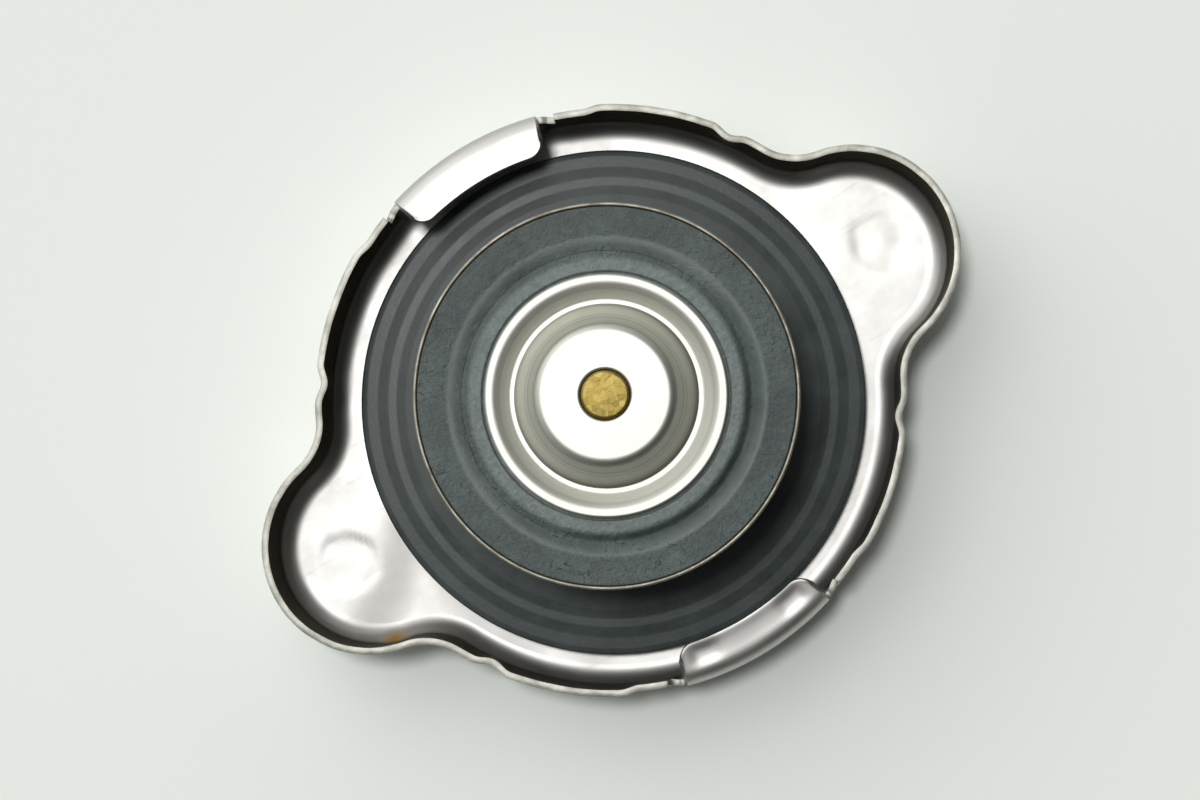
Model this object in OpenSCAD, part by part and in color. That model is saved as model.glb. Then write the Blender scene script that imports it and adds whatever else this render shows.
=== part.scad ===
// Radiator cap with pressure valve and vacuum valve, lying on its top with the valve side up.
// Millimetres. The cap's top panel is at z = 0, the ears point along X, the bayonet lugs along Y.

/* [Shell] */
// Thickness of the shell's steel sheet
sheet_t = 0.5; // [0.4:0.05:0.7]
// Outside radius of the skirt at its rim
skirt_r = 22.2; // [21.5:0.1:24]
// Height from the top panel to the skirt's rim
skirt_h = 9.6; // [9:0.1:12]
// Outward lean of the skirt in degrees
skirt_lean = 0.5; // [0:0.25:3]
// Outside radius of the edge between top and skirt
edge_r = 1.9; // [1.2:0.1:2.4]
// Radius of the panel that stands out of the top
panel_r = 14.5; // [12:0.1:15.5]
// Height of that panel
panel_rise = 1.3; // [0.9:0.05:1.5]
// Radius of the hollow for the rivet's head
rivet_hollow_r = 4.2; // [3.8:0.1:6]
// Depth of that hollow
hollow_z = 1.2; // [1.1:0.05:1.3]

/* [Ears] */
// Distance from the axis to an ear's tip
ear_reach = 29.25; // [28:0.25:32]
// Outside radius of an ear's round tip
ear_r = 8.05; // [7:0.05:9]
// Radius of the hollow curve between ear and skirt
ear_blend_r = 4.45; // [4:0.05:6]
// Radius of the round button pressed into an ear
button_r = 2.2; // [1.5:0.1:2.8]
// Depth of that button
button_depth = 0.15; // [0.1:0.05:0.4]
// Distance of the button from the axis
button_x = 23.9; // [23:0.1:24.5]

/* [Skirt dents] */
// Depth of the dent beside an ear
dent_depth = 0.42; // [0.1:0.02:0.6]
// Angle that this dent takes up, in degrees
dent_angle = 8; // [5:0.5:10]
// Angle from the ear's axis to this dent
dent_near_ear = 34.5; // [33:0.5:40]
// Angle from the ear's axis to the step where the skirt is set in beside a lug
lug_step_angle = 62.5; // [60:0.5:65]
// Depth of that step
lug_step_depth = 0.3; // [0.1:0.02:0.4]

/* [Bayonet lugs] */
// Half of the angle that a lug takes up
lug_half_angle = 16.3; // [12:0.1:18]
// Length of a lug from the skirt's outside to its inner edge
lug_reach = 3.1; // [2.6:0.1:4]
// Sheet thickness of the folded lug
lug_t = 0.46; // [0.36:0.02:0.48]
// Outside radius of the lug's fold
lug_bend_r = 1.2; // [0.8:0.1:1.6]
// Corner radius of the lug
lug_corner_r = 1.2; // [0.4:0.1:2]
// Width of the notch beside a lug
notch_w = 1.4; // [0.6:0.05:2]
// Depth of that notch below the rim
notch_depth = 2.4; // [2:0.1:3.6]

/* [Upper gasket] */
// Room between the gasket and the skirt's inside at the rim
gasket_gap = 2.4; // [1.8:0.1:3]
// Thickness of the gasket
gasket_t = 1.9; // [1.6:0.1:2.6]
// Width of the gasket's outer land, to the middle of the groove
gasket_edge_w = 1.9; // [1.6:0.1:2.6]
// Width of the sealing land inside the groove
gasket_land_w = 2.4; // [1.6:0.1:2.6]
// Sheet thickness of the spring disc behind the gasket
leaf_t = 0.3; // [0.2:0.05:0.4]
// Distance of the spring disc's edge from the gasket's edge
leaf_inset = 1.7; // [1:0.1:3]
// Width of the spring disc's flat outer ring
leaf_ring_w = 5; // [3:0.1:6]
// Room for the spring disc to give way
leaf_lift = 0.5; // [0.3:0.05:0.8]

/* [Valve cage] */
// Outside radius of the cage
cage_r = 10.9; // [10.7:0.1:12]
// Sheet thickness of the cage
cage_t = 0.5; // [0.4:0.05:0.6]
// Radius of the cage's foot, outside
cage_well_r = 6.9; // [6:0.1:7.2]
// Radius of the opening between the cage's tabs
cage_mouth_r = 8.4; // [8.2:0.1:9]
// Number of windows in the cage's wall, and of tabs at its mouth
cage_windows = 4; // [3:1:5]
// Width of a window
window_w = 7.5; // [5:0.1:8]
// Height of a window
window_h = 4.6; // [3:0.1:5.5]
// Radius of the rivet's shank
rivet_r = 1.9; // [1.6:0.05:2.4]

/* [Pressure valve] */
// Length of the pressure spring in the closed cap
spring_len = 7.9; // [7.6:0.1:10]
// Wire thickness of the pressure spring
spring_wire = 1.1; // [0.8:0.05:1.1]
// Number of turns of the pressure spring
spring_turns = 4; // [3.5:0.25:4]
// Travel of the pressure valve
valve_travel = 3; // [2:0.1:3.2]
// Thickness of the disc that slides in the cage
guide_t = 0.6; // [0.5:0.05:0.8]
// Radius of the valve's neck, outside
neck_r = 7.45; // [7.2:0.05:7.6]
// Sheet thickness of the seal carrier
carrier_t = 0.26; // [0.22:0.01:0.4]
// Outside radius of the seal carrier's rim
carrier_r = 13.95; // [13.4:0.05:14.3]
// Thickness of the lower rubber seal
seal_t = 2; // [1.8:0.1:2.4]
// Depth of the dished middle of the seal
seal_dish = 0.3; // [0.15:0.05:0.35]
// Distance from the vacuum plate's edge to the groove that the filler neck's seat wears into the seal
seat_mark_gap = 2.15; // [1.9:0.05:2.3]
// Depth of that groove
seat_mark_depth = 0.56; // [0.3:0.02:0.6]
// Number of flow holes in the sliding disc
flow_holes = 6; // [4:1:7]
// Radius of a flow hole
flow_hole_r = 1.4; // [1:0.1:1.5]

/* [Vacuum valve] */
// Radius of the vacuum plate
plate_r = 8.8; // [8.6:0.05:9]
// Sheet thickness of the vacuum plate
plate_t = 0.5; // [0.4:0.05:0.6]
// Depth of the groove between the plate's rim and its dome
plate_groove = 0.5; // [0.3:0.05:0.55]
// Height of the dome above the groove
dome_h = 3; // [2.6:0.1:4]
// Radius at the foot of the dome
dome_foot_r = 6.5; // [6.2:0.05:6.6]
// Radius at the top of the dome before rounding
dome_top_r = 4.8; // [4.4:0.05:5]
// Rounding of the dome's shoulder
dome_round = 0.5; // [0.4:0.05:0.9]
// Radius of the stem's staked end
stem_end_r = 1.75; // [1.5:0.05:2.2]
// Radius of the stem
stem_r = 1.3; // [1:0.05:1.5]
// Wire thickness of the vacuum spring
vac_wire = 0.4; // [0.3:0.05:0.4]
// Number of turns of the vacuum spring
vac_turns = 5; // [4:0.5:5]
// Room between the stem and the vacuum spring
vac_gap = 0.95; // [0.5:0.05:1.2]
// Length of the vacuum spring in the closed cap
vac_len = 4.4; // [4.3:0.1:5]

/* [Hidden] */
$fn = 96;

// Running clearance of turning and sliding fits, and the small gap at a loose seat
run = 0.06;
gap = 0.05;

// Heights in the shell
floor_z = panel_rise + sheet_t;
middle_z = hollow_z + sheet_t;
lug_root_z = skirt_h - notch_depth;
lug_in_r = skirt_r - lug_reach;

// Radii of the gasket and the spring disc
gasket_r = skirt_r - sheet_t - gasket_gap;
gasket_groove_r = gasket_r - gasket_edge_w;
groove_w = 0.8;
gasket_land_r = gasket_groove_r - groove_w - gasket_land_w;
leaf_r = gasket_r - leaf_inset;

// Heights of the gasket and the cage
leaf_mid_z = middle_z + 2 * gap;
gasket_z = floor_z + leaf_lift + leaf_t;
gasket_top_z = gasket_z + gasket_t;
cage_foot_z = leaf_mid_z + leaf_t;
gasket_step = 0.15;
cage_flange_z = gasket_top_z - gasket_step;
spring_z = cage_flange_z + cage_t;

// Heights of the pressure valve
guide_z = spring_z + spring_len;
guide_top_z = guide_z + guide_t;
tab_z = guide_top_z + gap;
carrier_z = tab_z + cage_t + valve_travel + 0.15;
seal_z = carrier_z + carrier_t;
seal_top_z = seal_z + seal_t;
guide_r = cage_r - cage_t - 0.2;

// Heights of the vacuum valve
plate_z = seal_top_z - seal_dish + plate_t / 2;
groove_z = plate_z - plate_groove;
dome_z = groove_z + dome_h;
vac_mid_r = stem_r + vac_gap + vac_wire / 2;
retainer_t = 0.5;
retainer_z = guide_z - vac_len - retainer_t;

// Colours
steel = [0.78, 0.78, 0.76];
bright = [0.86, 0.86, 0.84];
rubber = [0.24, 0.25, 0.27];
brass = [0.83, 0.66, 0.34];

// Sheet profiles: a middle line with rounded bends gets the sheet's thickness
function unit(v) = v / norm(v);
function left(v) = [-v.y, v.x];
function turn(a, b, c) = let (u = unit(b - a), w = unit(c - b)) atan2(cross(u, w), u * w);
function moved_corner(a, b, c, d) =
    let (m = left(unit(b - a)), n = left(unit(c - b))) b + (m + n) * d / (1 + m * n);
function moved(p, d) = let (e = len(p) - 1) concat(
    [p[0] + d * left(unit(p[1] - p[0]))],
    [for (i = [1:1:e - 1]) moved_corner(p[i - 1], p[i], p[i + 1], d)],
    [p[e] + d * left(unit(p[e] - p[e - 1]))]);
function bend(a, b, c, r, n = 5) =
    let (t = turn(a, b, c), s = sign(t), u = unit(b - a),
         start = b - u * r * tan(abs(t) / 2), middle = start + left(u) * s * r)
    [for (i = [0:n]) let (w = t * i / n, v = (start - middle))
        middle + [v.x * cos(w) - v.y * sin(w), v.x * sin(w) + v.y * cos(w)]];
function bent(p, r, d) = let (e = len(p) - 1, q = moved(p, d)) concat([q[0]],
    [for (i = [1:1:e - 1]) let (s = sign(turn(p[i - 1], p[i], p[i + 1])))
        each bend(q[i - 1], q[i], q[i + 1], r[i - 1] - s * d)], [q[e]]);
function reversed(p) = [for (i = [len(p) - 1:-1:0]) p[i]];
function sheet(path, bends, t) = concat(bent(path, bends, t / 2), reversed(bent(path, bends, -t / 2)));

// Outline of the skirt: ear tip, hollow curve and skirt arc of one quarter, mirrored to the others
ear_x = ear_reach - ear_r;
blend_x = (pow(skirt_r + ear_blend_r, 2) - pow(ear_r + ear_blend_r, 2) + ear_x * ear_x) / (2 * ear_x);
blend_y = sqrt(pow(skirt_r + ear_blend_r, 2) - blend_x * blend_x);
ear_end = atan2(blend_y, blend_x - ear_x);
skirt_start = atan2(blend_y, blend_x);
ear_steps = 10;
blend_steps = 6;
skirt_steps = 30;

function ray(a) = [cos(a), sin(a)];
quarter = concat(
    [for (i = [0:ear_steps - 1]) let (n = ray(ear_end * i / ear_steps)) [[ear_x, 0] + ear_r * n, n]],
    [for (i = [0:blend_steps - 1]) let (n = ray(ear_end + (skirt_start - ear_end) * i / blend_steps))
        [[blend_x, blend_y] - ear_blend_r * n, n]],
    [for (i = [0:skirt_steps]) let (n = ray(skirt_start + (90 - skirt_start) * i / skirt_steps))
        [skirt_r * n, n]]);
last = len(quarter) - 1;
function flip(i, sx, sy) = [for (v = quarter[i]) [v.x * sx, v.y * sy]];
outline = concat(
    [for (i = [0:last]) flip(i, 1, 1)], [for (i = [last - 1:-1:0]) flip(i, -1, 1)],
    [for (i = [1:last]) flip(i, -1, -1)], [for (i = [last - 1:-1:1]) flip(i, 1, -1)]);

// Dents: a smooth hollow beside each ear, and a step inward that runs on to each lug's notch
function hump(x) = abs(x) < 1 ? (1 + cos(180 * x)) / 2 : 0;
function rise(x) = x < -1 ? 0 : x > 1 ? 1 : (1 + sin(90 * x)) / 2;
function dent(p) = let (a = atan2(abs(p.y), abs(p.x)), notch_end = 90 - lug_half_angle)
    dent_depth * hump(2 * (a - dent_near_ear) / dent_angle)
    + lug_step_depth * rise((a - lug_step_angle) / 2) * rise((notch_end - 2.3 - a) / 1.8);

// Rings of the shell: a ring follows the outline at an inward distance, or is a circle round the axis
function lean(z) = (skirt_h - z) * tan(skirt_lean);
function wall_ring(inward, z, dented = 0) =
    [for (s = outline) let (p = s[0] - s[1] * (inward + dented * dent(s[0]))) [p.x, p.y, z]];
function round_ring(r, z) = [for (s = outline) let (p = r * unit(s[0])) [p.x, p.y, z]];
function edge_rings(r, angles) = let (z = panel_rise + edge_r)
    [for (a = angles) wall_ring(lean(z) + edge_r - r * cos(a), z - r * sin(a))];

module swept_shell() {
    dent_z = skirt_h - 2.4;
    rise_r = panel_r + panel_rise;
    inside = sheet_t * 0.45;
    rings = concat(
        [wall_ring(0, skirt_h, 1), wall_ring(lean(dent_z), dent_z, 1)],
        edge_rings(edge_r, [0:22.5:90]),
        [round_ring(rise_r, panel_rise), round_ring(panel_r, 0), round_ring(panel_r - 2, 0)],
        [round_ring(panel_r - 2, sheet_t), round_ring(panel_r - inside, sheet_t),
         round_ring(rise_r - inside, floor_z)],
        edge_rings(edge_r - sheet_t, [90:-22.5:0]),
        [wall_ring(lean(dent_z) + sheet_t, dent_z, 1), wall_ring(sheet_t, skirt_h, 1)]);
    n = len(outline);
    k = len(rings);
    polyhedron(
        points = [for (ring = rings) each ring],
        faces = [for (j = [0:k - 1], i = [0:n - 1]) let (b = (j + 1) % k, c = (i + 1) % n)
            [j * n + i, j * n + c, b * n + c, b * n + i]],
        convexity = 6);
}

// Middle of the shell with the hollow that hides the rivet's head
module shell_middle() {
    slope = hollow_z * 0.8;
    out = panel_r - 1;
    rotate_extrude()
        polygon([[rivet_r + run, hollow_z], [rivet_hollow_r, hollow_z], [rivet_hollow_r + slope, 0],
                 [out, 0], [out, sheet_t], [rivet_hollow_r + slope + 0.3, sheet_t],
                 [rivet_hollow_r + 0.3, middle_z], [rivet_r + run, middle_z]]);
}

// Space that the lug and the notches beside it take out of the skirt
module lug_window() {
    half = lug_half_angle + notch_w / skirt_r * 180 / PI;
    rotate(90 - half) rotate_extrude(angle = 2 * half)
        translate([skirt_r - 3, lug_root_z]) square([5, notch_depth + 1]);
}

// Lug: the skirt's sheet folded inward, with round corners
module lug() {
    inset = (sheet_t - lug_t) / 2;
    mid = skirt_r - inset - lug_t / 2;
    path = [[mid - lean(lug_root_z), lug_root_z], [mid, skirt_h - lug_t / 2],
            [lug_in_r - 1, skirt_h - lug_t / 2]];
    corner = function (a) let (e = (lug_half_angle - abs(a)) * PI / 180 * lug_in_r)
        e < lug_corner_r ? lug_corner_r - sqrt(pow(lug_corner_r, 2) - pow(lug_corner_r - e, 2)) : 0;
    steps = 28;
    inner = [for (i = [0:steps]) let (a = -lug_half_angle * cos(180 * i / steps))
        (lug_in_r + corner(a)) * ray(90 + a)];
    outer = [for (a = [lug_half_angle + 1, 0, -lug_half_angle - 1]) (skirt_r + 3) * ray(90 + a)];
    intersection() {
        rotate(90 - lug_half_angle) rotate_extrude(angle = 2 * lug_half_angle)
            polygon(sheet(path, [lug_bend_r - lug_t / 2], lug_t));
        translate([0, 0, lug_root_z - 1]) linear_extrude(skirt_h) polygon(concat(inner, outer));
    }
}

module ear_button(r, z) {
    translate([button_x, 0, z]) cylinder(h = button_depth, r1 = r - button_depth, r2 = r);
}

module cap_shell() {
    color(steel) {
        difference() {
            union() {
                difference() {
                    swept_shell();
                    for (side = [0, 180]) rotate(side) lug_window();
                }
                shell_middle();
                for (side = [0, 180]) rotate(side) ear_button(button_r + 0.4, panel_rise - button_depth);
            }
            for (side = [0, 180]) rotate(side) ear_button(button_r, floor_z - button_depth);
        }
        for (side = [0, 180]) rotate(side) lug();
    }
}

// Rivet: flat head in the shell's hollow, staked inside the cage
module centre_rivet() {
    head_r = rivet_hollow_r - 0.6;
    staked_r = rivet_r + 1.2;
    foot = cage_foot_z + cage_t;
    color(steel) rotate_extrude()
        polygon([[0, 0.12], [head_r - 0.3, 0.12], [head_r, 0.35], [head_r, hollow_z - gap],
                 [rivet_r, hollow_z - gap], [rivet_r, foot], [staked_r, foot],
                 [staked_r - 0.25, foot + 0.5], [staked_r - 1.1, foot + 0.85], [0, foot + 0.95]]);
}

// Spring disc: clamped in the middle, its outer ring carries the gasket
module leaf_spring() {
    ring_z = gasket_z - leaf_t / 2;
    color(bright) rotate_extrude()
        polygon(sheet([[rivet_r + gap, leaf_mid_z + leaf_t / 2], [cage_well_r + 0.6, leaf_mid_z + leaf_t / 2],
                       [leaf_r - leaf_ring_w, ring_z], [leaf_r, ring_z]], [2, 2], leaf_t));
}

// Gasket: rubber disc with a raised sealing land, a groove and an outer land
module upper_gasket() {
    in_r = cage_well_r + 0.3;
    land = 0.12;
    l = gasket_land_r;
    g = gasket_groove_r;
    color(rubber) rotate_extrude()
        polygon([[in_r, gasket_z], [gasket_r - 0.2, gasket_z], [gasket_r, gasket_z + 0.2],
                 [gasket_r, gasket_top_z - land - 0.35], [gasket_r - 0.35, gasket_top_z - land],
                 [g + groove_w, gasket_top_z - land], [g + 0.25, gasket_top_z - land - 0.14],
                 [g - 0.15, gasket_top_z - land - 0.12], [g - 0.5, gasket_top_z - 0.06],
                 [g - groove_w, gasket_top_z], [l, gasket_top_z], [l - gasket_step, cage_flange_z],
                 [in_r, cage_flange_z]]);
}

// Cage: drawn cup whose foot goes through the gasket, with windows and tabs folded over the guide disc
module valve_cage() {
    half = cage_t / 2;
    wall = cage_r - half;
    path = [[rivet_r + gap, cage_foot_z + half], [cage_well_r - half, cage_foot_z + half],
            [cage_well_r - half, cage_flange_z + half], [wall, cage_flange_z + half],
            [wall, tab_z + half], [cage_mouth_r, tab_z + half]];
    window_z = (spring_z + tab_z - window_h) / 2;
    color(bright) difference() {
        rotate_extrude() polygon(sheet(path, [0.6, 0.6, 0.6, 0.6], cage_t));
        for (i = [0:cage_windows - 1]) rotate(45 + 360 * i / cage_windows) {
            translate([cage_r - 3, -window_w / 2, window_z]) cube([6, window_w, window_h]);
            translate([cage_mouth_r - 2, -3, tab_z - 0.2]) cube([cage_r, 6, 2]);
        }
    }
}

// Coil spring with close end turns, standing on z
module coil(wire, mid_r, z, len, turns, per_turn, sides) {
    close = 0.8;
    tight = wire * 1.06;
    open = (len - wire - 2 * close * tight) / (turns - 2 * close);
    rise = function (t) t < close ? t * tight
        : t > turns - close ? len - wire - (turns - t) * tight : close * tight + (t - close) * open;
    n = ceil(turns * per_turn);
    points = [for (i = [0:n]) let (t = turns * i / n) each [for (j = [0:sides - 1])
        let (a = 360 * j / sides, r = mid_r + wire / 2 * cos(a))
        [r * cos(360 * t), r * sin(360 * t), z + wire / 2 * (1 + sin(a)) + rise(t)]]];
    faces = concat([[for (j = [0:sides - 1]) j]], [[for (j = [sides - 1:-1:0]) n * sides + j]],
        [for (i = [0:n - 1], j = [0:sides - 1]) let (k = (j + 1) % sides)
            [i * sides + j, (i + 1) * sides + j, (i + 1) * sides + k, i * sides + k]]);
    polyhedron(points, faces, convexity = 10);
}

module main_spring() {
    color(steel) coil(spring_wire, cage_r - cage_t - 0.55 - spring_wire / 2, spring_z + gap,
                      spring_len - 2 * gap, spring_turns, 28, 8);
}

// Guide disc: slides in the cage, guides the stem and lets coolant through
module valve_guide() {
    color(bright) difference() {
        translate([0, 0, guide_z]) cylinder(h = guide_t, r = guide_r);
        translate([0, 0, guide_z - 1]) cylinder(h = guide_t + 2, r = stem_r + run);
        for (i = [0:flow_holes - 1]) rotate(360 * i / flow_holes)
            translate([neck_r - carrier_t - 0.75 - flow_hole_r, 0, guide_z - 1])
                cylinder(h = guide_t + 2, r = flow_hole_r);
    }
}

// Carrier: neck, plate and thin rim drawn from one sheet
module seal_carrier() {
    half = carrier_t / 2;
    path = [[neck_r - half, guide_top_z], [neck_r - half, carrier_z + half],
            [carrier_r - half, carrier_z + half], [carrier_r - half, seal_top_z + 0.05]];
    color(brass) rotate_extrude() polygon(sheet(path, [0.45, 0.4], carrier_t));
}

// Lower seal: flat land, worn groove, round bead and a dished seat for the vacuum plate
module pressure_seal() {
    out = carrier_r - carrier_t - 0.03;
    top = seal_top_z;
    seat = top - seal_dish;
    m = plate_r + seat_mark_gap;
    deep = top - seat_mark_depth;
    color(rubber) rotate_extrude()
        polygon([[neck_r, seal_z], [out - 0.5, seal_z], [out, seal_z + 0.5],
                 [out, top - 0.12], [out - 0.12, top], [m + 0.75, top], [m + 0.55, top - 0.05],
                 [m + 0.15, deep], [m - 0.15, deep], [m - 0.6, top - 0.2], [m - 1, top - 0.05],
                 [plate_r + 0.35, top - 0.04], [plate_r + 0.15, seat],
                 [plate_r - 0.55, seat], [neck_r, seat - 0.75]]);
}

// Vacuum plate: flat rim, groove and dome drawn from one sheet
module vacuum_plate() {
    path = [[plate_r, plate_z], [plate_r - 0.6, plate_z], [plate_r - 1.75, groove_z],
            [dome_foot_r, groove_z], [dome_top_r, dome_z], [stem_end_r + gap, dome_z]];
    color(bright) rotate_extrude() polygon(sheet(path, [0.5, 0.4, 0.3, dome_round], plate_t));
}

// Stem: staked end in the dome, shoulder under it, upset head below the retainer
module vacuum_stem() {
    under = dome_z - plate_t / 2;
    top = dome_z + plate_t / 2;
    head_r = stem_r + 0.6;
    color(brass) rotate_extrude()
        polygon([[0, retainer_z - 0.6], [head_r - 0.2, retainer_z - 0.6], [head_r, retainer_z - 0.4],
                 [head_r, retainer_z], [stem_r, retainer_z], [stem_r, under - 1.4],
                 [stem_end_r + 0.7, under - 1.4], [stem_end_r + 0.7, under], [stem_end_r, under],
                 [stem_end_r, top - 0.02], [stem_end_r - 0.25, top + 0.12], [0, top + 0.18]]);
}

module vacuum_spring() {
    color(steel) coil(vac_wire, vac_mid_r, retainer_z + retainer_t + gap,
                      vac_len - 2 * gap, vac_turns, 16, 6);
}

// Retainer: washer with a turned-up edge that holds the vacuum spring on the stem
module spring_retainer() {
    in = vac_mid_r + vac_wire / 2 + 0.55;
    out = in + retainer_t * 0.8;
    z = retainer_z;
    color(brass) rotate_extrude()
        polygon([[stem_r + gap, z], [out, z], [out, z + 2 * retainer_t], [in, z + 2 * retainer_t],
                 [in, z + retainer_t], [stem_r + gap, z + retainer_t]]);
}

cap_shell();
centre_rivet();
leaf_spring();
upper_gasket();
valve_cage();
main_spring();
valve_guide();
seal_carrier();
pressure_seal();
vacuum_plate();
vacuum_stem();
vacuum_spring();
spring_retainer();
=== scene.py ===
import math
import bmesh
import bpy
from mathutils import Matrix, Vector, noise


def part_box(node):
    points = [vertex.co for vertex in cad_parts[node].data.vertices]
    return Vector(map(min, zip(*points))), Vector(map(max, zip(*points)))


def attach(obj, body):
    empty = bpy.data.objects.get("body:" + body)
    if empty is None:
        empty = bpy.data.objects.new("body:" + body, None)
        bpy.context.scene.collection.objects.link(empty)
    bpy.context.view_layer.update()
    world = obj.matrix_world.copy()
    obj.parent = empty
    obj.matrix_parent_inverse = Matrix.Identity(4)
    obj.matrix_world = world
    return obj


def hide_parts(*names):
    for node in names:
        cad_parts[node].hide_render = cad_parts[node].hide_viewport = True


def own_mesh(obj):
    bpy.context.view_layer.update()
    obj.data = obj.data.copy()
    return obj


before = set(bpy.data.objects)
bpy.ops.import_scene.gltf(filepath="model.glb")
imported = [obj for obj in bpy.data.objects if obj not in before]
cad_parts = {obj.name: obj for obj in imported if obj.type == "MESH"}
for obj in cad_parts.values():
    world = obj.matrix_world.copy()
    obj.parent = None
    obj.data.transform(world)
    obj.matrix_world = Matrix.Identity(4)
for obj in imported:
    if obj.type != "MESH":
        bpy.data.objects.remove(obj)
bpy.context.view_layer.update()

# Shell
# The cap's body is one blank of bright plated steel sheet, drawn to a shallow cup with two ears.
# Its rim is slit beside two lugs, and the lugs are folded inward to grip the filler neck. Use has bent it.
# Sizes are in millimetres and degrees, apart from those of floor, light and camera.
MM = 0.001
slack = 0.01
sheet_t = 0.5
sheared_soft = 0.12
sharp_angle = 55
skirt_lean = 0.5
edge_r = 1.9
panel_r = 14.5
panel_rise = 1.3
panel_slope_in = 0.18
panel_bend_r = 0.6
rivet_hole_r = 1.96
hollow_r = 4.35
hollow_slope = 0.9
hollow_bend_r = 0.5
hollow_z = 1.2
ear_r = 8.05
ear_blend_r = 4.45
button_x = 23.9
button_r = 2.2
button_edge = 0.45
button_depth_east = 0.045
button_depth_west = 0.08
button_uneven_grain = 2.5
button_crumple = 0.5
button_crumple_grain = 1.5
dent_depth = 0.42
dent_half = 4
dent_angle = 34.5
lug_step_angle = 62.5
lug_step_half = 2
lug_step_end = 0.5
lug_step_full = 4.1
lug_step_depth = 0.3
lug_half = 16.3
lug_reach = 3.1
lug_bend_r = 1.2
lug_corner_r = 1.2
lug_crowding = 1.6
lug_tilt = 0.26
lug_pocket_north = 0.03
lug_pocket_south = 0.14
pocket_at = 0.32
pocket_core = 0.12
pocket_half = 0.3
pocket_between = 0.3
pocket_fade = (0.04, 0.25)
pocket_outer = (-0.2, 0.4)
pocket_inner = (1, 0.6)
notch_w = 1.4
notch_depth = 2.4
notch_torn = 0.25
notch_torn_grain = 0.45
rim_wave = 0.05
rim_wave_grain = 1.7
floor_start_r = panel_r + 2
floor_wave = 0.04
floor_wave_grain = 6
floor_wave_start = 0.12
ear_sag = 0.45
sag_side = Vector((0.63, -0.77))
sag_start = 0.5
sag_full = 6
sag_start_x = -14
sag_full_x = -20


def span(node):
    """Lowest and highest corner of a solid, in millimetres."""
    return [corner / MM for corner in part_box(node)]


def ray(degrees):
    return Vector((math.cos(math.radians(degrees)), math.sin(math.radians(degrees))))


def smooth(low, high, value):
    """Rises softly from 0 at low to 1 at high."""
    share = min(1, max(0, (value - low) / (high - low)))
    return share * share * (3 - 2 * share)


def rounded(path, radii, steps=6, support=0.04):
    """An open path of (r, z) points whose inner corners are arcs, with a point just outside each arc."""
    points = [Vector(path[0])]
    for before, corner, after, radius in zip(path, path[1:], path[2:], radii):
        corner = Vector(corner)
        back = (Vector(before) - corner).normalized()
        ahead = (Vector(after) - corner).normalized()
        half = back.angle(ahead) / 2
        reach = radius / math.tan(half)
        middle = corner + (back + ahead).normalized() * radius / math.sin(half)
        start = corner + back * reach - middle
        turn = (math.pi - 2 * half) * (1 if back.cross(ahead) < 0 else -1)
        points.append(corner + back * (reach + support))
        for step in range(steps + 1):
            points.append(middle + Matrix.Rotation(turn * step / steps, 2) @ start)
        points.append(corner + ahead * (reach + support))
    points.append(Vector(path[-1]))
    return points


def resampled(points, count):
    """The same open path with count points at even distances."""
    lengths = [0]
    for a, b in zip(points, points[1:]):
        lengths.append(lengths[-1] + (b - a).length)
    result = []
    for index in range(count):
        along = lengths[-1] * index / (count - 1)
        leg = max(k for k in range(len(points) - 1) if lengths[k] <= along + 1e-9)
        share = (along - lengths[leg]) / max(lengths[leg + 1] - lengths[leg], 1e-9)
        result.append(points[leg].lerp(points[leg + 1], share))
    return result


shell_high = span("cap_shell")[1]
skirt_h = shell_high.z
ear_reach = shell_high.x
skirt_r = shell_high.y
ear_x = ear_reach - ear_r
ear_gap = skirt_r + ear_blend_r
blend_x = (ear_gap ** 2 - (ear_r + ear_blend_r) ** 2 + ear_x ** 2) / (2 * ear_x)
blend_y = math.sqrt(ear_gap ** 2 - blend_x ** 2)
ear_end = math.degrees(math.atan2(blend_y, blend_x - ear_x))
skirt_start = math.degrees(math.atan2(blend_y, blend_x))
lug_start = 90 - lug_half
notch_start = lug_start - math.degrees(notch_w / skirt_r)

# A quarter of the outline from the ear's tip to the lug's middle: place and outward direction of stations
ear_steps, blend_steps, skirt_steps, notch_steps, lug_steps = 24, 14, 56, 6, 24
quarter = [(Vector((ear_x, 0)) + ear_r * ray(ear_end * i / ear_steps), ray(ear_end * i / ear_steps))
           for i in range(ear_steps)]
for i in range(blend_steps):
    out = ray(ear_end + (skirt_start - ear_end) * i / blend_steps)
    quarter.append((Vector((blend_x, blend_y)) - ear_blend_r * out, out))
for i in range(skirt_steps):
    out = ray(skirt_start + (notch_start - skirt_start) * i / skirt_steps)
    quarter.append((skirt_r * out, out))
for i in range(notch_steps):
    out = ray(notch_start + (lug_start - notch_start) * i / notch_steps)
    quarter.append((skirt_r * out, out))
for i in range(lug_steps + 1):
    out = ray(lug_start + lug_half * math.sin(math.pi / 2 * (i / lug_steps) ** lug_crowding))
    quarter.append((skirt_r * out, out))
forward, backward = list(range(1, len(quarter))), list(range(len(quarter) - 2, -1, -1))
stations = []
for order, sx, sy in (([0] + forward, 1, 1), (backward, -1, 1), (forward, -1, -1), (backward[:-1], 1, -1)):
    for index in order:
        stations.append([Vector((v.x * sx, v.y * sy)) for v in quarter[index]])


def from_ear(p):
    """Angle of a place from the ears' axis, in degrees."""
    return math.degrees(math.atan2(abs(p.y), abs(p.x)))


def is_lug(p):
    return from_ear(p) > lug_start - slack


def is_notch(p):
    return notch_start + slack < from_ear(p) < lug_start - slack


def lean(z):
    return (skirt_h - z) * math.tan(math.radians(skirt_lean))


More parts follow.
